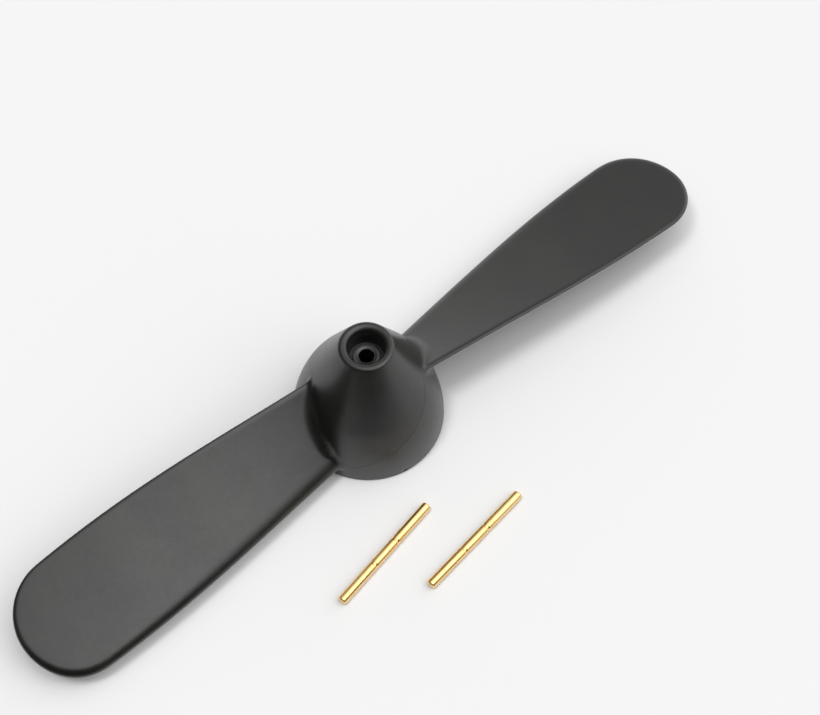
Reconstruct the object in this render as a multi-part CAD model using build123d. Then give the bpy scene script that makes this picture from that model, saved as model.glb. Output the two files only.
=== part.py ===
"""Two-blade moulded propeller for a small electric outboard, with two spare shear pins.

Frame: millimetres, +Z along the shaft from the open base of the hub to its nose.
The origin is the centre of the base plane, and the blades lie along +X and -X.
"""
from build123d import *
import os
from math import cos, exp, pi, radians, sin, tan

os.makedirs("parts", exist_ok=True)

# ---- Driving dimensions ----------------------------------------------------
PROPELLER_RADIUS = 127.4        # 10 inch diameter, near enough
SHAFT_DIAMETER = 10.0           # the motor shaft that the hub slides on
SHAFT_CLEARANCE = 0.05          # radial
OVERCUT = 1.0                   # how far a cut runs on past the wall it goes through

# Hub: a bell that is upright at its base, then a shoulder arc, then a cone.
HUB_BASE_RADIUS = 23.3
HUB_UPRIGHT = 1.0               # height of the upright band above the base
HUB_CONE_ANGLE = 26.0           # degrees from the axis
HUB_SHOULDER_TOP = 22.0         # height where the shoulder arc meets the cone
HUB_WALL = 2.8
CAVITY_ROOF = 32.0              # height of the underside of the nose

# Nose: the cone ends in a thick rounded lip around a recess for the shaft's screw.
LIP_OUTER_ROUND = 1.3
LIP_INNER_ROUND = 1.75
RECESS_RADIUS = 5.4
LIP_HEIGHT = 43.4
RECESS_FLOOR = 35.5
RING_RADIUS = 4.1               # raised seat on the floor of the recess
RING_TOP = 37.5
SCREW_HOLE_RADIUS = 2.35

# Inside of the hub.
BOSS_RADIUS = 8.5
RIB_THICKNESS = 2.0
RIB_ANGLES = (0, 45, 135, 180, 225, 315)
RIB_RECESS = 1.0                # the ribs stop short of the base plane

# Drive slot across the base end of the boss.
PIN_RADIUS = 1.5
SLOT_WIDTH = 3.2
SLOT_DEPTH = 3.6
SLOT_WALL = 2.4
SLOT_WALL_HEIGHT = 12.0

# Blades. Each runs along X; a station is a distance from the hub's axis.
ROOT_STATION = 10.0             # first section, inside the hub
CHORD_MEAN = 32.1               # width of the blade is this, plus a slow wave along it
CHORD_WAVE = 4.75
CHORD_WAVE_START = 48.0
CHORD_WAVE_LENGTH = 200.0
PITCH_AT_AXIS = 51.3            # degrees; the pitch dies away towards the tip
PITCH_LENGTH = 93.8             # station where it has fallen to 1/e
BEND_START = 19.0               # station where the blade starts to droop and sweep
MID_HEIGHT = 15.0               # of mid chord above the base plane, at that station
DROOP = 0.000417                # mm for each mm squared
SWEEP = 0.0225                  # mm towards the high edge for each mm
TIP_ROUNDING = 17.7             # length of the rounded tip, along the blade
LEADING_EDGE = 4.0              # thickness of the rounded low edge
TRAILING_EDGE = 1.4             # thickness of the rounded high edge
ROOT_THICKNESS = 5.4            # at mid chord
TIP_THICKNESS = 3.6
THINNING = 0.7                  # below 1, most of the thinning is near the root
FACE_CROWN = 0.1                # how far the face rises at mid chord
STATION_COUNT = 9

# Shear pins.
PIN_LENGTH = 40.0
PIN_CHAMFER = 0.3
GROOVE_WIDTH = 1.1
GROOVE_DEPTH = 0.12

# Where each spare pin lies on the bench: centre X, centre Y, angle from +X.
PIN_PLACES = ((-27.4, -39.3, 9.4), (-4.2, -53.7, 6.6))


# ---- Hub -------------------------------------------------------------------
def bell(inset, top):
    """Solid of the bell, drawn in by inset, from the base up to height top."""
    arc_radius = (HUB_SHOULDER_TOP - HUB_UPRIGHT) / sin(radians(HUB_CONE_ANGLE))
    centre_x = HUB_BASE_RADIUS - arc_radius
    radius = arc_radius - inset

    def on_arc(angle):
        return (centre_x + radius * cos(radians(angle)), HUB_UPRIGHT + radius * sin(radians(angle)))

    shoulder = on_arc(HUB_CONE_ANGLE)
    cone_top = (shoulder[0] - tan(radians(HUB_CONE_ANGLE)) * (top - shoulder[1]), top)
    outline = [
        Line((0, 0), (HUB_BASE_RADIUS - inset, 0)),
        Line((HUB_BASE_RADIUS - inset, 0), on_arc(0)),
        ThreePointArc(on_arc(0), on_arc(HUB_CONE_ANGLE / 2), shoulder),
        Line(shoulder, cone_top),
        Line(cone_top, (0, top)),
        Line((0, top), (0, 0)),
    ]
    return revolve(Plane.XZ * make_face(outline), Axis.Z)


def cone_radius(height):
    """Radius of the hub's cone at a height."""
    angle = radians(HUB_CONE_ANGLE)
    arc_radius = (HUB_SHOULDER_TOP - HUB_UPRIGHT) / sin(angle)
    shoulder_radius = HUB_BASE_RADIUS - arc_radius * (1 - cos(angle))
    return shoulder_radius - (height - HUB_SHOULDER_TOP) * tan(angle)


def upright(radius, low, high):
    """Cylinder on the hub's axis between two heights."""
    return Pos(0, 0, low) * Cylinder(radius, high - low, align=(Align.CENTER, Align.CENTER, Align.MIN))


def on_round(centre, radius, angle):
    """Point at an angle on a rounded corner of the lip."""
    return (centre[0] + radius * cos(radians(angle)), centre[1] + radius * sin(radians(angle)))


def nose_lip(base):
    """Ring from the roof of the cavity up to the lip. Above height base its outside carries the cone on."""
    angle = radians(HUB_CONE_ANGLE)
    outer_height = LIP_HEIGHT - LIP_OUTER_ROUND
    outer = (cone_radius(outer_height) - LIP_OUTER_ROUND / cos(angle), outer_height)
    inner = (RECESS_RADIUS + LIP_INNER_ROUND, LIP_HEIGHT - LIP_INNER_ROUND)
    outer_side = on_round(outer, LIP_OUTER_ROUND, HUB_CONE_ANGLE)
    outer_middle = on_round(outer, LIP_OUTER_ROUND, (HUB_CONE_ANGLE + 90) / 2)
    outer_top = on_round(outer, LIP_OUTER_ROUND, 90)
    inner_top = on_round(inner, LIP_INNER_ROUND, 90)
    inner_side = on_round(inner, LIP_INNER_ROUND, 180)
    outline = [
        Line((RECESS_RADIUS, CAVITY_ROOF), (cone_radius(base), CAVITY_ROOF)),
        Line((cone_radius(base), CAVITY_ROOF), (cone_radius(base), base)),
        Line((cone_radius(base), base), outer_side),
        ThreePointArc(outer_side, outer_middle, outer_top),
        Line(outer_top, inner_top),
        ThreePointArc(inner_top, on_round(inner, LIP_INNER_ROUND, 135), inner_side),
        Line(inner_side, (RECESS_RADIUS, CAVITY_ROOF)),
    ]
    return revolve(Plane.XZ * make_face(outline), Axis.Z)


cone_top = LIP_HEIGHT - LIP_INNER_ROUND
hub_outside = bell(0, cone_top)
cavity = bell(HUB_WALL, CAVITY_ROOF)
recess = upright(RECESS_RADIUS, RECESS_FLOOR, LIP_HEIGHT) - upright(RING_RADIUS, RECESS_FLOOR, RING_TOP)
screw_hole = upright(SCREW_HOLE_RADIUS, CAVITY_ROOF - OVERCUT, RING_TOP + OVERCUT)
hub_shell = hub_outside + nose_lip(cone_top) - cavity - recess - screw_hole


# ---- Inside of the hub -----------------------------------------------------
bore_radius = SHAFT_DIAMETER / 2 + SHAFT_CLEARANCE
boss_outside = upright(BOSS_RADIUS, 0, CAVITY_ROOF)
pin_slot = Pos(0, 0, SLOT_DEPTH / 2) * Box(SLOT_WIDTH, 2 * (BOSS_RADIUS + OVERCUT), SLOT_DEPTH)
shaft_boss = boss_outside - upright(bore_radius, 0, CAVITY_ROOF) - pin_slot


def radial_rib(angle):
    """One plate from the boss to the wall of the hub."""
    height = CAVITY_ROOF - RIB_RECESS
    plate = Pos(0, 0, RIB_RECESS) * Box(
        HUB_BASE_RADIUS, RIB_THICKNESS, height, align=(Align.MIN, Align.CENTER, Align.MIN)
    )
    return (Rot(0, 0, angle) * plate & cavity) - boss_outside


def slot_wall(side, end):
    """One of the four plates that hold the ends of the pin square to the shaft."""
    plate = Pos(side * (SLOT_WIDTH + SLOT_WALL) / 2, end * HUB_BASE_RADIUS / 2, SLOT_WALL_HEIGHT / 2) * Box(
        SLOT_WALL, HUB_BASE_RADIUS, SLOT_WALL_HEIGHT
    )
    return (plate & cavity) - boss_outside


hub_ribs = Compound([radial_rib(angle).solid() for angle in RIB_ANGLES])
slot_walls = Compound([slot_wall(side, end).solid() for side in (-1, 1) for end in (-1, 1)])


# ---- Blades ----------------------------------------------------------------
def chord(radius):
    """Width of the blade from edge to edge."""
    return CHORD_MEAN + CHORD_WAVE * sin(2 * pi * (radius - CHORD_WAVE_START) / CHORD_WAVE_LENGTH)


def pitch_angle(radius):
    """Angle of the blade's face to the plane of rotation, in degrees."""
    return PITCH_AT_AXIS * exp(-radius / PITCH_LENGTH)


def mid_height(radius):
    """Height of mid chord above the base plane."""
    return MID_HEIGHT - DROOP * (radius - BEND_START) ** 2


def skew(radius):
    """Sideways shift of mid chord, towards the high trailing edge."""
    return -SWEEP * (radius - BEND_START)


def thickness(radius):
    """Thickness at mid chord."""
    along = (radius - ROOT_STATION) / (PROPELLER_RADIUS - ROOT_STATION)
    return ROOT_THICKNESS + (TIP_THICKNESS - ROOT_THICKNESS) * along ** THINNING


def blade_section(radius):
    """Closed section: a nearly flat face on top, a fuller back below, and round edges."""
    low_edge = LEADING_EDGE / 2
    high_edge = TRAILING_EDGE / 2
    low_end = chord(radius) / 2 - low_edge
    high_end = high_edge - chord(radius) / 2
    face = (low_edge + high_edge) / 2 + FACE_CROWN
    back = face - thickness(radius)
    outline = [
        ThreePointArc((high_end, high_edge), (0, face), (low_end, low_edge)),
        ThreePointArc((low_end, low_edge), (low_end + low_edge, 0), (low_end, -low_edge)),
        ThreePointArc((low_end, -low_edge), (0, back), (high_end, -high_edge)),
        ThreePointArc((high_end, -high_edge), (high_end - high_edge, 0), (high_end, high_edge)),
    ]
    tilt = radians(pitch_angle(radius))
    plane = Plane(
        origin=(radius, skew(radius), mid_height(radius)),
        x_dir=(0, cos(tilt), -sin(tilt)),
        z_dir=(1, 0, 0),
    )
    return plane * make_face(outline)


def make_blade():
    """Blade along +X, with its low leading edge towards +Y."""
    step = (PROPELLER_RADIUS + OVERCUT - ROOT_STATION) / (STATION_COUNT - 1)
    stations = [ROOT_STATION + step * index for index in range(STATION_COUNT)]
    body = loft([blade_section(radius) for radius in stations])
    shoulder = PROPELLER_RADIUS - TIP_ROUNDING
    half = chord(shoulder) / 2 * cos(radians(pitch_angle(shoulder)))
    low_side = skew(shoulder) + half
    high_side = skew(shoulder) - half
    wide = 2 * half
    plan = [
        Line((0, -wide), (shoulder, -wide)),
        Line((shoulder, -wide), (shoulder, high_side)),
        ThreePointArc((shoulder, high_side), (PROPELLER_RADIUS, skew(shoulder)), (shoulder, low_side)),
        Line((shoulder, low_side), (shoulder, wide)),
        Line((shoulder, wide), (0, wide)),
        Line((0, wide), (0, -wide)),
    ]
    trimmed = body & extrude(make_face(plan), LIP_HEIGHT)
    return (trimmed - hub_outside).solid()


blade = make_blade()


# ---- Shear pins ------------------------------------------------------------
def make_pin(centre_x, centre_y, angle):
    """Round pin lying on the bench, with a shallow groove at each side of the shaft."""
    half = PIN_LENGTH / 2
    waist = PIN_RADIUS - GROOVE_DEPTH
    outline = [Line((0, -half), (PIN_RADIUS - PIN_CHAMFER, -half))]
    outline.append(Line((PIN_RADIUS - PIN_CHAMFER, -half), (PIN_RADIUS, PIN_CHAMFER - half)))
    start = PIN_CHAMFER - half
    for groove in (-SHAFT_DIAMETER / 2, SHAFT_DIAMETER / 2):
        low = groove - GROOVE_WIDTH / 2
        high = groove + GROOVE_WIDTH / 2
        outline.append(Line((PIN_RADIUS, start), (PIN_RADIUS, low)))
        outline.append(ThreePointArc((PIN_RADIUS, low), (waist, groove), (PIN_RADIUS, high)))
        start = high
    outline.append(Line((PIN_RADIUS, start), (PIN_RADIUS, half - PIN_CHAMFER)))
    outline.append(Line((PIN_RADIUS, half - PIN_CHAMFER), (PIN_RADIUS - PIN_CHAMFER, half)))
    outline.append(Line((PIN_RADIUS - PIN_CHAMFER, half), (0, half)))
    outline.append(Line((0, half), (0, -half)))
    pin = revolve(make_face(outline), Axis.Y)
    return Pos(centre_x, centre_y, PIN_RADIUS) * Rot(0, 0, angle - 90) * pin


# ---- Export ----------------------------------------------------------------
nodes = {
    "hub_shell": hub_shell,
    "shaft_boss": shaft_boss,
    "hub_ribs": hub_ribs,
    "pin_slot_walls": slot_walls,
    "blade_1": blade,
    "blade_2": Rot(0, 0, 180) * blade,
}
for number, place in enumerate(PIN_PLACES, start=1):
    nodes[f"shear_pin_{number}"] = make_pin(*place)

for node, shape in nodes.items():
    export_step(shape, f"parts/{node}.step")
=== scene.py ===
"""Looks of a two-blade moulded propeller and its two spare brass shear pins.

The moulding is one closed skin. Its hub is turned about Z, each blade is a set of sections
along X, and a fillet runs round each blade's root. Sizes are in millimetres until a mesh is made.
"""

from math import cos, pi, radians, sin, tan

import bmesh
import bpy
import numpy as np
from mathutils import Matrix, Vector
from mathutils.geometry import delaunay_2d_cdt


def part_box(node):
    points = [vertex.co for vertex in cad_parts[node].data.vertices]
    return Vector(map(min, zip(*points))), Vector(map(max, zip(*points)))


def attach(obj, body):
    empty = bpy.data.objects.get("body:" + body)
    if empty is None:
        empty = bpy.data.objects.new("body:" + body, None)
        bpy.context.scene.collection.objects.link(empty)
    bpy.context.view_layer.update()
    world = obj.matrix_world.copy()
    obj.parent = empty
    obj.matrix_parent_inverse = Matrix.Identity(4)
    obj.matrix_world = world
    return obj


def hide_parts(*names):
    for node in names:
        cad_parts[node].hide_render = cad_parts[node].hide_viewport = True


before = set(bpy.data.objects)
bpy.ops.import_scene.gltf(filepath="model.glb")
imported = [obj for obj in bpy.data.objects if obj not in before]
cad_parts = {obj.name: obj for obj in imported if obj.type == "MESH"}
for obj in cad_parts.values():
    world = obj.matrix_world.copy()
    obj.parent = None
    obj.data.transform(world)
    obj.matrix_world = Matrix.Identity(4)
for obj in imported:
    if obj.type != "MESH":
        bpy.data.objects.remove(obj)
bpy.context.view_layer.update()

# ---- Sizes -------------------------------------------------------------------
MM = 0.001
hub_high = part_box("hub_shell")[1]
blade_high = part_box("blade_1")[1]
boss_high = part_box("shaft_boss")[1]
MERGE_DISTANCE = 0.002          # points nearer than this become one
SAME_POINT = 1e-6               # and nearer than this, the ends of two runs are one point

# Hub: an upright band, a shoulder arc and a cone that ends in a rounded lip.
HUB_BASE_RADIUS = hub_high.x / MM
HUB_UPRIGHT = 1.0               # height of the upright band above the base
HUB_CONE = radians(26)          # from the axis
HUB_SHOULDER_TOP = 22.0         # height where the shoulder arc meets the cone
HUB_SHOULDER_ARC = (HUB_SHOULDER_TOP - HUB_UPRIGHT) / sin(HUB_CONE)
HUB_WALL = 2.8
RIM_ROUND = 0.6
CAVITY_ROOF = boss_high.z / MM
LIP_HEIGHT = hub_high.z / MM
LIP_OUTER_ROUND = 1.3
LIP_INNER_ROUND = 1.75
RECESS_RADIUS = 5.4
RECESS_FLOOR = 35.5
RECESS_FLOOR_ROUND = 0.2
RING_RADIUS = 4.1               # raised seat on the floor of the recess
RING_TOP = 37.5
RING_EDGE_ROUND = 0.15
SEAT_STEP_RADIUS = 3.05         # shallow dish in the raised ring, round the screw hole
SEAT_STEP_DEPTH = 0.25
SCREW_HOLE_RADIUS = 2.35
FLASH_WAVE = 0.12               # how far the moulded edge of the screw hole wanders
FLASH_DEPTH = 1.2               # down to this far below the top of the ring
FLASH_MARGIN = 0.2              # and out to this far from the wall of the hole

# The band of the hub that the blades grow out of is meshed round their roots.
BAND_TOP = 33.0
BAND_ROWS = 38
AROUND = 180
BAND_UNROLL = 20.0              # radius that the band is unrolled at

# Mould parting line: it climbs from one blade's low edge to the other's high edge.
PARTING_MIDDLE_ANGLE = -96.5    # degrees
PARTING_MIDDLE_HEIGHT = 16.0
PARTING_CLIMB = 0.184           # mm of height for each degree
PARTING_HALF_SPAN = 62.0        # degrees to each side of the middle
PARTING_DEPTH = 0.12
PARTING_ROWS = ((-0.35, 0.0), (-0.17, 0.0), (0.0, 1.0), (0.17, 0.0), (0.35, 0.0))  # height, share of depth
PARTING_CLEARANCE = 0.6         # the line stops this far from a blade's root
GRID_CLEARANCE = 0.65           # plain grid points keep this far from the finer marks
ROOT_CLEARANCE = 0.45           # and this far from a blade's root

# Scar of the mould's gate, just above the rim.
GATE_ANGLE = -101.7             # degrees
GATE_HEIGHT = 1.35
GATE_RADIUS = 0.65
GATE_DEPTH = 0.35
GATE_AROUND = 12
GATE_RINGS = ((1.0, 0.0), (0.6, 1.0), (0.25, 1.0))  # share of its radius, share of its depth

# Blades. Each runs along X; a station is a distance from the hub's axis.
TIP_RADIUS = blade_high.x / MM
TIP_ROUNDING = 17.7             # length of the rounded tip, along the blade
TIP_START = TIP_RADIUS - TIP_ROUNDING
ROOT_STATION = 10.0
ROOT_SEARCH = (6.0, 60.0)       # stations between which the blade comes out of the hub
SEARCH_STEPS = 40
CHORD_MEAN = 32.1               # width of the blade is this, plus a slow wave along it
CHORD_WAVE = 4.75
CHORD_WAVE_START = 48.0
CHORD_WAVE_LENGTH = 200.0
PITCH_AT_AXIS = 51.3            # degrees; the pitch dies away towards the tip
PITCH_LENGTH = 93.8             # station where it has fallen to 1/e
BEND_START = 19.0               # station where the blade starts to droop and sweep
MID_HEIGHT = 15.0               # of mid chord above the base plane, at that station
DROOP = 0.000417                # mm for each mm squared
SWEEP = 0.0225                  # mm towards the high edge for each mm
LOW_EDGE_HALF = 2.0             # half of the thickness of the low leading edge
HIGH_EDGE_HALF = 0.7
ROOT_THICKNESS = 5.4            # at mid chord
TIP_THICKNESS = 3.6
THINNING = 0.7                  # below 1, most of the thinning is near the root
FACE_CROWN = 0.1                # how far the face rises at mid chord
EDGE_REACH = 2.5                # the edge rounds off over this many times its half thickness
TIP_EDGE_REACH = 1.5            # and over this many at the tip
REACH_FADE = 3                  # above 1, most of that change is near the tip
TIP_FULLNESS = 0.85             # below 1, the tip is squarer on the side of the low edge
FACE_FILLET = 3.4               # size of the root's fillet at mid chord
EDGE_FILLET = 1.9
FILLET_FADE = 4                 # above 1, the fillet stays large until near the edges
FILLET_PULL = 0.55              # how strongly the fillet's curve hugs the corner
SLOPE_STEP = 0.1                # distance over which the blade's slope at the fillet is taken
FACE_ROWS = 14                  # from mid chord to the start of the rounded edge
EDGE_ROWS = 9
BLADE_STATIONS = 64
FILLET_STEPS = 9
TIP_STEPS = 44

# Shear pins.
PIN_RADIUS = 1.5
PIN_LENGTH = 40.0
PIN_CHAMFER = 0.3
GROOVE_SPACING = 10.0           # the diameter of the motor shaft
GROOVE_WIDTH = 1.1
GROOVE_DEPTH = 0.12
PIN_AROUND = 72
PIN_ANGLES = {"shear_pin_1": radians(9.4), "shear_pin_2": radians(6.6)}


# ---- Mesh building -----------------------------------------------------------
class Skin:
    """Points and faces of one closed surface, in millimetres. Points that meet are merged at the end."""

    def __init__(self):
        self.points = []
        self.faces = []

    def add(self, points, faces):
        """Take in points, and faces whose numbers count from the first of them."""
        start = len(self.points)
        self.points.extend(tuple(point) for point in points)
        self.faces.extend(tuple(start + index for index in face) for face in faces)

    def grid(self, rows, closed):
        """Quads between rows of points. A closed grid joins the end of each row to its start."""
        rows = np.asarray(rows, float)
        count, width = rows.shape[:2]
        faces = []
        for row in range(count - 1):
            here = row * width
            above = here + width
            for column in range(width if closed else width - 1):
                after = (column + 1) % width
                faces.append((here + column, here + after, above + after, above + column))
        self.add(rows.reshape(-1, 3), faces)

    def object(self, name):
        """Blender object of the whole surface, smooth shaded."""
        mesh = bpy.data.meshes.new(name)
        mesh.from_pydata([Vector(point) * MM for point in self.points], [], self.faces)
        shape = bmesh.new()
        shape.from_mesh(mesh)
        bmesh.ops.remove_doubles(shape, verts=shape.verts, dist=MERGE_DISTANCE * MM)
        bmesh.ops.dissolve_degenerate(shape, edges=shape.edges, dist=MERGE_DISTANCE * MM)
        bmesh.ops.recalc_face_normals(shape, faces=shape.faces)
        for face in shape.faces:
            face.smooth = True
        shape.to_mesh(mesh)
        shape.free()
        piece = bpy.data.objects.new(name, mesh)
        bpy.context.scene.collection.objects.link(piece)
        return piece


def line(start, end, steps=1, support=0.15):
    """Points of a straight run, with an extra one near each end to keep its shading flat."""
    start = np.asarray(start, float)
    end = np.asarray(end, float)
    length = np.linalg.norm(end - start)
    places = set(np.linspace(0, 1, steps + 1))
    if length > 4 * support:
        places |= {support / length, 1 - support / length}
    return [tuple(start + (end - start) * place) for place in sorted(places)]


def arc(centre, radius, start, end, steps):
    """Points of an arc between two angles in degrees."""
    angles = np.radians(np.linspace(start, end, steps + 1))
    return [(centre[0] + radius * cos(angle), centre[1] + radius * sin(angle)) for angle in angles]


def joined(*runs):
    """One outline from runs that meet end to end."""
    outline = []
    for run in runs:
        for point in run:
            if not outline or np.hypot(point[0] - outline[-1][0], point[1] - outline[-1][1]) > SAME_POINT:
                outline.append(point)
    return outline


def turned(outline, around, wave=None):
    """Rings about Z of an outline of (radius, height). wave adds to the radius of each point of a ring."""
    angles = np.arange(around) * 2 * pi / around
    rings = []
    for index, (radius, height) in enumerate(outline):
        radii = np.full(around, float(radius))
        if wave is not None:
            radii = radii + wave(index, angles)
        rings.append(np.stack([radii * np.cos(angles), radii * np.sin(angles), np.full(around, height)], -1))
    return rings


# ---- Hub ---------------------------------------------------------------------
def bell_radius(height, inset=0.0):
    """Radius of the hub's outside, or of its cavity when inset by the wall."""
    height = np.asarray(height, float)
    arc_radius = HUB_SHOULDER_ARC - inset
    centre = HUB_BASE_RADIUS - HUB_SHOULDER_ARC
    shoulder_radius = centre + arc_radius * cos(HUB_CONE)
    shoulder_height = HUB_UPRIGHT + arc_radius * sin(HUB_CONE)
    rise = np.clip(height - HUB_UPRIGHT, 0, shoulder_height - HUB_UPRIGHT)
    on_arc = centre + np.sqrt(arc_radius ** 2 - rise ** 2)
    on_cone = shoulder_radius - (height - shoulder_height) * tan(HUB_CONE)
    return np.where(height > shoulder_height, on_cone, on_arc)


def bell_normal(points):
    """Outward normals of the hub's outside at points on it."""
    points = np.asarray(points, float)
    step = 0.01
    slope = (bell_radius(points[:, 2] + step) - bell_radius(points[:, 2] - step)) / (2 * step)
    radius = np.hypot(points[:, 0], points[:, 1])
    normal = np.stack([points[:, 0] / radius, points[:, 1] / radius, -slope], -1)
    return normal / np.linalg.norm(normal, axis=1)[:, None]


def nose_outline():
    """From the top of the band up the cone, over the lip, down the recess and through the screw hole."""
    outer_height = LIP_HEIGHT - LIP_OUTER_ROUND
    outer_centre = float(bell_radius(outer_height)) - LIP_OUTER_ROUND / cos(HUB_CONE)
    inner_height = LIP_HEIGHT - LIP_INNER_ROUND
    inner_centre = RECESS_RADIUS + LIP_INNER_ROUND
    lip = arc((outer_centre, outer_height), LIP_OUTER_ROUND, np.degrees(HUB_CONE), 90, 12)
    floor_round = RECESS_FLOOR_ROUND
    edge_round = RING_EDGE_ROUND
    step_top = RING_TOP - SEAT_STEP_DEPTH
    step_radius = SEAT_STEP_RADIUS - SEAT_STEP_DEPTH
    return joined(
        line((float(bell_radius(BAND_TOP)), BAND_TOP), lip[0], 10),
        lip,
        arc((inner_centre, inner_height), LIP_INNER_ROUND, 90, 180, 14),
        line((RECESS_RADIUS, inner_height), (RECESS_RADIUS, RECESS_FLOOR + floor_round), 4),
        arc((RECESS_RADIUS - floor_round, RECESS_FLOOR + floor_round), floor_round, 360, 270, 4),
        line((RECESS_RADIUS - floor_round, RECESS_FLOOR), (RING_RADIUS, RECESS_FLOOR)),
        line((RING_RADIUS, RECESS_FLOOR), (RING_RADIUS, RING_TOP - edge_round)),
        arc((RING_RADIUS - edge_round, RING_TOP - edge_round), edge_round, 0, 90, 4),
        line((RING_RADIUS - edge_round, RING_TOP), (SEAT_STEP_RADIUS, RING_TOP)),
        line((SEAT_STEP_RADIUS, RING_TOP), (step_radius, step_top)),
        line((step_radius, step_top), (SCREW_HOLE_RADIUS + edge_round, step_top)),
        arc((SCREW_HOLE_RADIUS + edge_round, step_top - edge_round), edge_round, 90, 180, 4),
        line((SCREW_HOLE_RADIUS, step_top - edge_round), (SCREW_HOLE_RADIUS, CAVITY_ROOF), 3),
    )


def cavity_outline():
    """From the screw hole across the roof of the cavity, down its wall and round the rim of the base."""
    heights = np.linspace(CAVITY_ROOF, RIM_ROUND, 30)
    wall = [(float(bell_radius(height, HUB_WALL)), height) for height in heights]
    inner_radius = wall[-1][0]
    return joined(
        line((SCREW_HOLE_RADIUS, CAVITY_ROOF), wall[0], 3),
        wall,
        arc((inner_radius + RIM_ROUND, RIM_ROUND), RIM_ROUND, 180, 270, 4),
        line((inner_radius + RIM_ROUND, 0), (HUB_BASE_RADIUS - RIM_ROUND, 0), 2),
        arc((HUB_BASE_RADIUS - RIM_ROUND, RIM_ROUND), RIM_ROUND, 270, 360, 5),
    )


# ---- Blades ------------------------------------------------------------------
def chord(radius):
    """Width of the blade from edge to edge."""
    return CHORD_MEAN + CHORD_WAVE * np.sin(2 * pi * (radius - CHORD_WAVE_START) / CHORD_WAVE_LENGTH)


def pitch_angle(radius):
    """Angle of the blade's face to the plane of rotation, in radians."""
    return np.radians(PITCH_AT_AXIS * np.exp(-radius / PITCH_LENGTH))


def mid_height(radius):
    """Height of mid chord above the base plane."""
    return MID_HEIGHT - DROOP * (radius - BEND_START) ** 2


def skew(radius):
    """Sideways shift of mid chord, towards the high trailing edge."""
    return -SWEEP * (radius - BEND_START)


def thickness(radius):
    """Thickness at mid chord."""
    along = np.clip((radius - ROOT_STATION) / (TIP_RADIUS - ROOT_STATION), 0, 1)
    return ROOT_THICKNESS + (TIP_THICKNESS - ROOT_THICKNESS) * along ** THINNING


def edge_half(across):
    """Half of the edge's thickness, from -1 at the high edge to 1 at the low edge."""
    return HIGH_EDGE_HALF + (LOW_EDGE_HALF - HIGH_EDGE_HALF) * (across + 1) / 2


def half_width(radius):
    """Half of the chord, held to the tip's round outline in plan beyond its start."""
    trimmed = chord(TIP_START) * np.cos(pitch_angle(TIP_START)) / np.cos(pitch_angle(radius))
    return np.where(radius > TIP_START, trimmed, chord(radius)) / 2


def row_shape(row, edge, radius):
    """Place of a row as a share of the half chord, and how far it has risen round the edge."""
    row = abs(row)
    along = min(max((radius - ROOT_STATION) / (TIP_START - ROOT_STATION), 0), 1)
    reach_here = EDGE_REACH + (TIP_EDGE_REACH - EDGE_REACH) * along ** REACH_FADE
    reach = reach_here * edge / half_width(radius)
    if row <= FACE_ROWS:
        return row / FACE_ROWS * (1 - reach), 1.0
    turn = pi / 2 * (1 - (row - FACE_ROWS) / EDGE_ROWS)
    return 1 - reach * (1 - cos(turn)), sin(turn)


def on_blade(radius, across, share, lift, top):
    """Point of the blade at a radius and a signed share of the half chord across it.

    share is the distance from the middle of the blade, as a share of the way to its edge.
    """
    crown = 1 - share ** 2
    round_edge = edge_half(across) * lift
    rise = round_edge + FACE_CROWN * crown
    if not top:
        fullness = thickness(radius) - FACE_CROWN - LOW_EDGE_HALF - HIGH_EDGE_HALF
        rise = -(round_edge + fullness * crown)
    along = across * half_width(radius)
    tilt = pitch_angle(radius)
    return np.array([
        radius,
        skew(radius) + along * np.cos(tilt) + rise * np.sin(tilt),
        mid_height(radius) - along * np.sin(tilt) + rise * np.cos(tilt),
    ])


LAST_ROW = FACE_ROWS + EDGE_ROWS
SECTION_ROWS = [(row, True) for row in range(-LAST_ROW, LAST_ROW + 1)]
SECTION_ROWS += [(row, False) for row in range(LAST_ROW - 1, -LAST_ROW, -1)]


def section_point(radius, row, top):
    """Point of one of the lines that run along the blade, at a radius."""
    edge = LOW_EDGE_HALF if row > 0 else HIGH_EDGE_HALF
    share, lift = row_shape(row, edge, radius)
    return on_blade(radius, share if row > 0 else -share, share, lift, top)


def meets_hub(row, top):
    """Radius at which a line along the blade comes out of the hub."""
    low, high = ROOT_SEARCH
    for _ in range(SEARCH_STEPS):
        middle = (low + high) / 2
        point = section_point(middle, row, top)
        if np.hypot(point[0], point[1]) < bell_radius(point[2]):
            low = middle
        else:
            high = middle
    return (low + high) / 2


def fillet_curve(start, row, top, crossing, foot, size):
    """Curve from a line along the blade, at radius start, down to the fillet's foot on the hub."""
    top_point = section_point(start, row, top)
    along = section_point(start + SLOPE_STEP, row, top) - top_point
    along /= np.linalg.norm(along)
    normal = bell_normal([foot])[0]
    away = foot - crossing
    away -= normal * np.dot(away, normal)
    away /= np.linalg.norm(away)
    reach = FILLET_PULL * size
    place = np.linspace(0, 1, FILLET_STEPS + 1)[:, None]
    return (
        (1 - place) ** 3 * top_point
        + 3 * (1 - place) ** 2 * place * (top_point - along * reach)
        + 3 * (1 - place) * place ** 2 * (foot - away * reach)
        + place ** 3 * foot
    )


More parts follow.
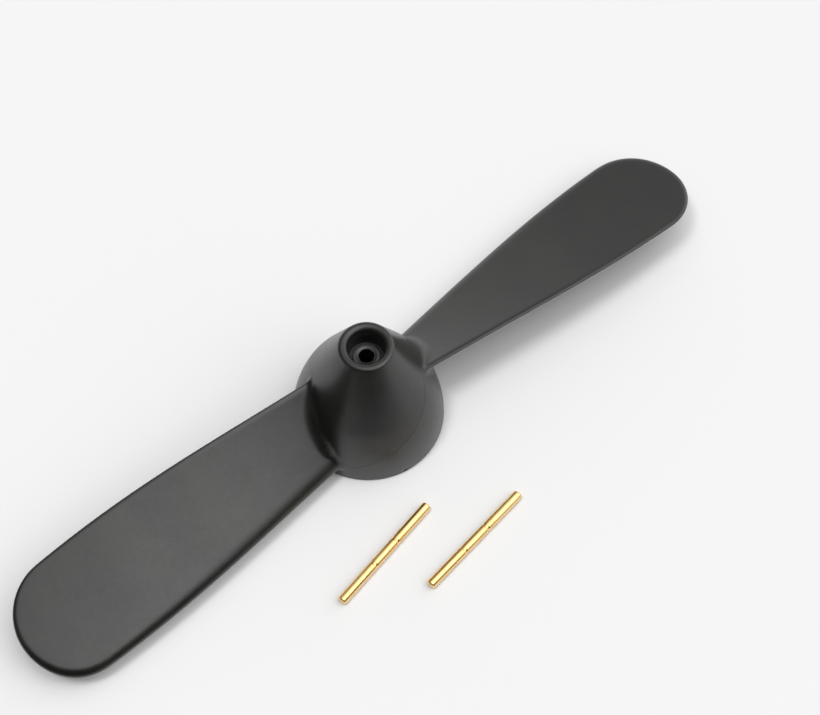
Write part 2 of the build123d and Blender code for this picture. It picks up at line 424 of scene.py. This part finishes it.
def root_loops():
    """For each line along the blade: where its fillet starts, and the rings of the fillet down to the hub."""
    meeting = [meets_hub(row, top) for row, top in SECTION_ROWS]
    crossing = np.array([
        section_point(radius, row, top) for radius, (row, top) in zip(meeting, SECTION_ROWS)
    ])
    around = np.roll(crossing, -1, 0) - np.roll(crossing, 1, 0)
    around /= np.linalg.norm(around, axis=1)[:, None]
    outward = np.cross(around, bell_normal(crossing))
    if np.sum(outward * (crossing - crossing.mean(0))) < 0:
        outward = -outward
    outward /= np.linalg.norm(outward, axis=1)[:, None]
    starts = []
    rings = []
    for index, (row, top) in enumerate(SECTION_ROWS):
        share = min(abs(row) / FACE_ROWS, 1.0)
        size = EDGE_FILLET + (FACE_FILLET - EDGE_FILLET) * (1 - share ** FILLET_FADE)
        start = meeting[index] + size
        foot = crossing[index] + outward[index] * size
        foot[:2] *= bell_radius(foot[2]) / np.hypot(foot[0], foot[1])
        starts.append(start)
        rings.append(fillet_curve(start, row, top, crossing[index], foot, size))
    return starts, np.array(rings).transpose(1, 0, 2)


def blade_tip(top):
    """Rows of points round the tip, from the middle outwards, each from the low side to the high side."""
    angles = np.linspace(pi / 2, -pi / 2, TIP_STEPS + 1)
    rows = []
    for row in range(LAST_ROW + 1):
        points = []
        for angle in angles:
            share, lift = row_shape(row, edge_half(sin(angle)), TIP_START)
            outward = max(cos(angle), 0.0) ** (TIP_FULLNESS if angle > 0 else 1.0)
            radius = TIP_START + TIP_ROUNDING * share * outward
            points.append(on_blade(radius, share * sin(angle), share, lift, top))
        rows.append(points)
    return rows


def build_blade(skin, turn, starts, fillet):
    """One blade with its root fillet, turned about Z."""
    spin = np.array([[cos(turn), sin(turn), 0], [-sin(turn), cos(turn), 0], [0, 0, 1]])
    body = []
    for place in np.linspace(0, 1, BLADE_STATIONS):
        ring = []
        for start, (row, top) in zip(starts, SECTION_ROWS):
            ring.append(section_point(start + (TIP_START - start) * place, row, top))
        body.append(ring)
    skin.grid(np.array(body) @ spin, True)
    skin.grid(fillet @ spin, True)
    for top in (True, False):
        skin.grid(np.array(blade_tip(top)) @ spin, False)


# ---- Band of the hub round the blade roots -----------------------------------
def inside(points, loop):
    """Which points lie inside a closed loop in the plane."""
    found = np.zeros(len(points), bool)
    for (x0, y0), (x1, y1) in zip(loop, np.roll(loop, -1, 0)):
        crosses = (y0 > points[:, 1]) != (y1 > points[:, 1])
        height = y1 - y0 if y1 != y0 else 1e-9  # a level edge is never crossed, so this only avoids 0
        found ^= crosses & (points[:, 0] < (x1 - x0) * (points[:, 1] - y0) / height + x0)
    return found


class Band:
    """Points of the unrolled band as (place round it, height), the edges that must stay, and their lifts."""

    def __init__(self):
        self.points = []
        self.edges = []
        self.lifts = []

    def add(self, points, lift=0.0, closed=False, strip=True):
        """Take in points. A strip's edges stay, and a closed strip joins its end to its start."""
        start = len(self.points)
        self.points.extend(tuple(point) for point in points)
        self.lifts.extend([lift] * len(points))
        if strip:
            self.edges.extend((start + index, start + index + 1) for index in range(len(points) - 1))
        if closed:
            self.edges.append((start + len(points) - 1, start))


def clear_of(spots, loops, gap):
    """Which spots lie outside every loop and farther than gap from it."""
    spots = np.asarray(spots, float)
    clear = np.ones(len(spots), bool)
    for loop in loops:
        distance = np.linalg.norm(spots[:, None] - loop[None], axis=2).min(1)
        clear &= (distance > gap) & ~inside(spots, loop)
    return clear


def parting_lines(columns, loops):
    """Runs of (angle, height) of the mould parting line, between the blade roots."""
    runs = []
    degrees = np.degrees(columns)
    for turn in range(-360, 361, 180):
        middle = PARTING_MIDDLE_ANGLE + turn
        angles = columns[np.abs(degrees - middle) <= PARTING_HALF_SPAN]
        heights = PARTING_MIDDLE_HEIGHT + PARTING_CLIMB * (np.degrees(angles) - middle)
        run = np.stack([angles, heights], -1)
        run = run[clear_of(run * (BAND_UNROLL, 1), loops, PARTING_CLEARANCE)]
        if len(run) > 1:
            runs.append(run)
    return runs


def gate_rings(start_angle):
    """Rings of the small scar that the mould's gate left just above the rim, with their lifts."""
    place = start_angle + (radians(GATE_ANGLE) - start_angle) % (2 * pi)
    turns = np.arange(GATE_AROUND) * 2 * pi / GATE_AROUND
    rings = []
    for share, depth in GATE_RINGS:
        across = place * BAND_UNROLL + share * GATE_RADIUS * np.cos(turns)
        up = GATE_HEIGHT + share * GATE_RADIUS * np.sin(turns)
        rings.append((np.stack([across, up], -1), -depth * GATE_DEPTH))
    return rings


def build_band(skin, foot):
    """The hub's outside from the rim to above the blades, with an opening for each root."""
    first = -pi / 2
    columns = first + np.arange(AROUND + 1) * 2 * pi / AROUND
    rows = np.linspace(RIM_ROUND, BAND_TOP, BAND_ROWS + 1)
    band = Band()
    loops = []
    for turn in (0.0, pi):
        angle = np.arctan2(foot[:, 1], foot[:, 0]) + turn
        loops.append(np.stack([angle * BAND_UNROLL, foot[:, 2]], -1))
        band.add(loops[-1], closed=True)

    taken = []
    for run in parting_lines(columns, loops):
        for offset, share in PARTING_ROWS:
            band.add(run * (BAND_UNROLL, 1) + (0, offset), -share * PARTING_DEPTH)
        taken.extend(run * (BAND_UNROLL, 1))
    for ring, lift in gate_rings(first):
        band.add(ring, lift, closed=True)
        taken.extend(ring)
    taken = np.array(taken)

    for row in rows:
        spots = np.stack([columns * BAND_UNROLL, np.full(len(columns), row)], -1)
        if row not in (rows[0], rows[-1]):
            away = np.linalg.norm(spots[:, None] - taken[None], axis=2).min(1) > GRID_CLEARANCE
            spots = spots[away & clear_of(spots, loops, ROOT_CLEARANCE)]
        band.add(spots, strip=False)

    flat, _, triangles, sources, _, _ = delaunay_2d_cdt(
        [Vector(point) for point in band.points], band.edges, [], 0, 1e-7
    )
    flat = np.array([tuple(point) for point in flat])
    lift = np.array([band.lifts[source[0]] if source else 0.0 for source in sources])
    angle = flat[:, 0] / BAND_UNROLL
    radius = bell_radius(flat[:, 1]) + lift
    solid = np.stack([radius * np.cos(angle), radius * np.sin(angle), flat[:, 1]], -1)
    faces = np.array([tuple(triangle) for triangle in triangles])
    centres = flat[faces].mean(1)
    kept = ~(inside(centres, loops[0]) | inside(centres, loops[1]))
    skin.add(solid, faces[kept])


# ---- The moulding ------------------------------------------------------------
def hole_flash(outline):
    """Slightly uneven radius where the pin of the mould met the floor of the recess."""
    wavy = [
        index for index, (radius, height) in enumerate(outline)
        if radius < SCREW_HOLE_RADIUS + FLASH_MARGIN and height > RING_TOP - FLASH_DEPTH
    ]

    def wave(index, angles):
        if index not in wavy:
            return np.zeros_like(angles)
        return -FLASH_WAVE * (0.5 + 0.5 * np.sin(6 * angles + 0.7) * np.sin(angles + 2.0))

    return wave


def build_moulding():
    """Hub and both blades as one closed skin."""
    skin = Skin()
    starts, fillet = root_loops()
    nose = nose_outline()
    skin.grid(turned(nose, AROUND, hole_flash(nose)), True)
    skin.grid(turned(cavity_outline(), AROUND), True)
    build_band(skin, fillet[-1])
    for turn in (0.0, pi):
        build_blade(skin, turn, starts, fillet)
    return skin.object("propeller_moulding")


# ---- Shear pins --------------------------------------------------------------
def pin_outline():
    """From the middle of one end to the middle of the other, as (radius, place along the pin)."""
    half = PIN_LENGTH / 2
    corner = 0.1
    runs = [line((0, -half), (PIN_RADIUS - PIN_CHAMFER, -half), 3)]
    start = PIN_CHAMFER - half
    runs.append(line((PIN_RADIUS - PIN_CHAMFER, -half), (PIN_RADIUS, start), 1, corner))
    groove_arc = (GROOVE_WIDTH ** 2 / 4 + GROOVE_DEPTH ** 2) / (2 * GROOVE_DEPTH)
    sweep = np.degrees(np.arcsin(GROOVE_WIDTH / 2 / groove_arc))
    for groove in (-GROOVE_SPACING / 2, GROOVE_SPACING / 2):
        centre = (PIN_RADIUS - GROOVE_DEPTH + groove_arc, groove)
        runs.append(line((PIN_RADIUS, start), (PIN_RADIUS, groove - GROOVE_WIDTH / 2), 6))
        runs.append(arc(centre, groove_arc, 180 + sweep, 180 - sweep, 8))
        start = groove + GROOVE_WIDTH / 2
    runs.append(line((PIN_RADIUS, start), (PIN_RADIUS, half - PIN_CHAMFER), 6))
    runs.append(line((PIN_RADIUS, half - PIN_CHAMFER), (PIN_RADIUS - PIN_CHAMFER, half), 1, corner))
    runs.append(line((PIN_RADIUS - PIN_CHAMFER, half), (0, half), 3))
    return joined(*runs)


def build_pin(node):
    """A pin lying along its own X axis, placed where the CAD pin lies."""
    skin = Skin()
    rings = np.array(turned(pin_outline(), PIN_AROUND))
    skin.grid(rings[..., [2, 0, 1]], True)
    piece = skin.object(node + "_brass")
    low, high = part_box(node)
    piece.location = (low + high) / 2
    piece.rotation_euler = (0, 0, PIN_ANGLES[node])
    return piece


# ---- Materials ---------------------------------------------------------------
class Shader:
    """Short calls for building a material's nodes."""

    def __init__(self, name):
        self.material = bpy.data.materials.new(name)
        self.material.use_nodes = True
        self.tree = self.material.node_tree
        self.surface = self.tree.nodes["Principled BSDF"]

    def node(self, kind, settings=None, **inputs):
        """New node with its inputs set or linked. An input goes by its name, or by number as i0 or i1."""
        made = self.tree.nodes.new(kind)
        for key, value in (settings or {}).items():
            setattr(made, key, value)
        for key, value in inputs.items():
            socket = made.inputs[int(key[1:])] if key[0] == "i" and key[1:].isdigit() else made.inputs[key]
            if isinstance(value, bpy.types.NodeSocket):
                self.tree.links.new(value, socket)
            else:
                socket.default_value = value
        return made

    def noise(self, scale, detail=3.0, roughness=0.5, vector=None):
        made = self.node("ShaderNodeTexNoise", Scale=scale, Detail=detail, Roughness=roughness)
        if vector is not None:
            self.tree.links.new(vector, made.inputs["Vector"])
        return made.outputs["Fac"]

    def ramp(self, value, low, high, to_low, to_high):
        """Value between low and high, stretched to run from to_low to to_high."""
        made = self.node("ShaderNodeMapRange", Value=value, i1=low, i2=high, i3=to_low, i4=to_high)
        return made.outputs["Result"]

    def mix(self, share, first, second):
        """Colour between two colours."""
        made = self.node("ShaderNodeMix", {"data_type": "RGBA"}, i0=share, i6=first, i7=second)
        return made.outputs[2]

    def bump(self, height, distance, strength=1.0, normal=None):
        made = self.node("ShaderNodeBump", Height=height, Distance=distance, Strength=strength)
        if normal is not None:
            self.tree.links.new(normal, made.inputs["Normal"])
        return made.outputs["Normal"]

    def link(self, output, name):
        """Let a node drive one of the surface's inputs."""
        self.tree.links.new(output, self.surface.inputs[name])

    def set(self, name, value):
        """Give one of the surface's inputs the same value everywhere."""
        self.surface.inputs[name].default_value = value


def black_nylon():
    """Glass-filled nylon: satin black, faintly mottled, with a fine grain and a few pale specks."""
    shader = Shader("black_nylon")
    place = shader.node("ShaderNodeTexCoord").outputs["Object"]
    clouds = shader.noise(45.0, 4.0, 0.55, place)
    grain = shader.noise(2600.0, 2.0, 0.6, place)
    fibres = shader.noise(700.0, 3.0, 0.6, place)
    tone = shader.mix(
        shader.ramp(clouds, 0.35, 0.65, 0.0, 1.0), (0.0050, 0.0050, 0.0048, 1), (0.0095, 0.0092, 0.0075, 1)
    )
    specks = shader.node("ShaderNodeTexVoronoi", Scale=170.0, Vector=place).outputs["Distance"]
    speck = shader.ramp(specks, 0.035, 0.055, 1.0, 0.0)
    rare = shader.ramp(shader.noise(60.0, 1.0, 0.5, place), 0.70, 0.74, 0.0, 0.5)
    both = shader.node("ShaderNodeMath", {"operation": "MULTIPLY"}, i0=speck, i1=rare).outputs[0]
    shader.link(shader.mix(both, tone, (0.25, 0.25, 0.24, 1)), "Base Color")
    smudges = shader.ramp(shader.noise(38.0, 3.0, 0.6, place), 0.35, 0.65, 0.28, 0.34)
    shine = shader.node(
        "ShaderNodeMath", {"operation": "ADD"}, i0=smudges, i1=shader.ramp(fibres, 0.3, 0.7, 0.0, 0.05)
    )
    shader.link(shine.outputs[0], "Roughness")
    waves = shader.bump(shader.noise(130.0, 2.0, 0.5, place), 0.00006, 1.0)
    shader.link(shader.bump(grain, 0.00002, 1.0, waves), "Normal")
    shader.set("IOR", 1.62)
    return shader.material


def turned_brass():
    """Drawn brass rod: turning lines round the pin, uneven tarnish and a soft shine."""
    shader = Shader("turned_brass")
    place = shader.node("ShaderNodeTexCoord").outputs["Object"]
    stretched = shader.node("ShaderNodeMapping", Vector=place, Scale=(1.0, 0.08, 0.08)).outputs["Vector"]
    lines = shader.noise(5200.0, 2.0, 0.6, stretched)
    tarnish = shader.noise(420.0, 4.0, 0.6, place)
    tone = shader.mix(
        shader.ramp(tarnish, 0.35, 0.7, 0.0, 1.0), (0.97, 0.68, 0.29, 1), (0.92, 0.59, 0.22, 1)
    )
    shader.link(tone, "Base Color")
    shader.link(shader.ramp(tarnish, 0.3, 0.7, 0.23, 0.31), "Roughness")
    shader.link(shader.bump(lines, 0.000002, 0.5), "Normal")
    shader.set("Metallic", 1.0)
    return shader.material


def paper_white():
    """The plain pale bench top: matt paper, hardly uneven."""
    shader = Shader("bench_top")
    place = shader.node("ShaderNodeTexCoord").outputs["Object"]
    drift = shader.noise(3.0, 2.0, 0.5, place)
    shader.link(shader.mix(drift, (0.671, 0.671, 0.671, 1), (0.681, 0.681, 0.681, 1)), "Base Color")
    shader.set("Roughness", 0.95)
    shader.set("Specular IOR Level", 0.0)
    return shader.material


# ---- Pieces ------------------------------------------------------------------
nylon = black_nylon()
brass = turned_brass()

moulding = build_moulding()
moulding.data.materials.append(nylon)
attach(moulding, "propeller")
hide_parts("hub_shell", "blade_1", "blade_2")

for inner_node in ("shaft_boss", "hub_ribs", "pin_slot_walls"):
    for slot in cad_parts[inner_node].material_slots:
        slot.material = nylon

for pin_node, pin_body in (("shear_pin_1", "pin_1"), ("shear_pin_2", "pin_2")):
    pin = build_pin(pin_node)
    pin.data.materials.append(brass)
    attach(pin, pin_body)
    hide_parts(pin_node)


# ---- Bench, light and camera -------------------------------------------------
# From here on lengths are in metres, and azimuths and elevations in degrees.
CAMERA_AZIMUTH = 231.6
CAMERA_PLACE = (-0.17923, -0.22416, 0.57654)
CAMERA_AIM = (0.30873, 0.35265, -0.88336)           # direction that it looks in
CAMERA_LENS = 91.2              # focal length and sensor width, in millimetres
CAMERA_SENSOR = 36.0
BENCH_SIZE = 8.0
FLAG_DISTANCE = 0.12            # in front of the hub, on the camera's side
FLAG_WIDTH = 0.34
FLAG_HEIGHT = 0.11
AMBIENT = 0.09                  # brightness of the even light
POOL_FOCUS = 8.0                # larger makes each pool of light narrower
LIGHT_POOLS = (                 # azimuth, elevation, brightness
    (90, 90, 1.15),
    (299, 50, 1.95),
    (335, 72, 0.85),
    (0, 8, 1.8),
    (65, 12, 0.75),
)
KEY_LAMPS = (                   # azimuth, elevation, energy
    (165, 72, 1.05),
    (0, 88, 0.20),
)
KEY_WIDTH = 15.0                # how wide a lamp looks from the propeller


def towards(azimuth, elevation):
    """Unit vector from a compass angle about Z and a height angle, in degrees."""
    turn = radians(azimuth)
    climb = radians(elevation)
    return Vector((cos(turn) * cos(climb), sin(turn) * cos(climb), sin(climb)))


def bench():
    """The plain pale floor."""
    bpy.ops.mesh.primitive_plane_add(size=BENCH_SIZE, location=(0, 0, 0))
    plane = bpy.context.object
    plane.name = "bench"
    plane.data.materials.append(paper_white())


def dark_flag():
    """Dark studio card in front of the propeller. Only reflections show it, as they show a dark room."""
    bpy.ops.mesh.primitive_plane_add(size=1.0)
    card = bpy.context.object
    card.name = "dark_flag"
    card.scale = (FLAG_WIDTH, FLAG_HEIGHT, 1.0)
    card.location = towards(CAMERA_AZIMUTH, 0) * FLAG_DISTANCE + Vector((0, 0, FLAG_HEIGHT / 2))
    card.rotation_euler = (pi / 2, 0, radians(CAMERA_AZIMUTH + 90))
    shader = Shader("black_felt")
    fluff = shader.noise(400.0, 3.0, 0.6)
    shader.link(shader.mix(fluff, (0.004, 0.004, 0.004, 1), (0.008, 0.008, 0.008, 1)), "Base Color")
    shader.set("Roughness", 1.0)
    shader.set("Specular IOR Level", 0.0)
    card.data.materials.append(shader.material)
    card.visible_camera = False
    card.visible_diffuse = False
    card.visible_shadow = False


def studio_light(ambient, pools):
    """Even light from all round, with broad soft pools of more light in some directions."""
    world = bpy.data.worlds.new("studio")
    bpy.context.scene.world = world
    world.use_nodes = True
    nodes = world.node_tree.nodes
    links = world.node_tree.links
    direction = nodes.new("ShaderNodeTexCoord").outputs["Generated"]

    def math(operation, *values):
        made = nodes.new("ShaderNodeMath")
        made.operation = operation
        for socket, value in zip(made.inputs, values):
            if isinstance(value, bpy.types.NodeSocket):
                links.new(value, socket)
            else:
                socket.default_value = value
        return made.outputs[0]

    strength = ambient
    for azimuth, elevation, brightness in pools:
        facing = nodes.new("ShaderNodeVectorMath")
        facing.operation = "DOT_PRODUCT"
        facing.inputs[1].default_value = towards(azimuth, elevation)
        links.new(direction, facing.inputs[0])
        falloff = math("EXPONENT", math("MULTIPLY_ADD", facing.outputs["Value"], POOL_FOCUS, -POOL_FOCUS))
        strength = math("MULTIPLY_ADD", falloff, brightness, strength)
    links.new(strength, nodes["Background"].inputs["Strength"])
    nodes["Background"].inputs["Color"].default_value = (1, 1, 1, 1)


def key_light(azimuth, elevation, energy):
    """A large soft lamp, far enough away for its light to be parallel."""
    lamp = bpy.data.lights.new("key_light", "SUN")
    lamp.energy = energy
    lamp.angle = radians(KEY_WIDTH)
    holder = bpy.data.objects.new("key_light", lamp)
    bpy.context.scene.collection.objects.link(holder)
    holder.rotation_euler = towards(azimuth, elevation).to_track_quat("Z", "Y").to_euler()
    holder.visible_glossy = False


def camera():
    """Camera above and in front of the propeller, a little to the left."""
    data = bpy.data.cameras.new("camera")
    data.sensor_width = CAMERA_SENSOR
    data.lens = CAMERA_LENS
    view = bpy.data.objects.new("camera", data)
    bpy.context.scene.collection.objects.link(view)
    view.location = CAMERA_PLACE
    view.rotation_euler = Vector(CAMERA_AIM).to_track_quat("-Z", "Y").to_euler()
    bpy.context.scene.camera = view


bench()
dark_flag()
studio_light(AMBIENT, LIGHT_POOLS)
for lamp_azimuth, lamp_elevation, lamp_energy in KEY_LAMPS:
    key_light(lamp_azimuth, lamp_elevation, lamp_energy)
camera()
bpy.context.scene.view_settings.view_transform = "Standard"
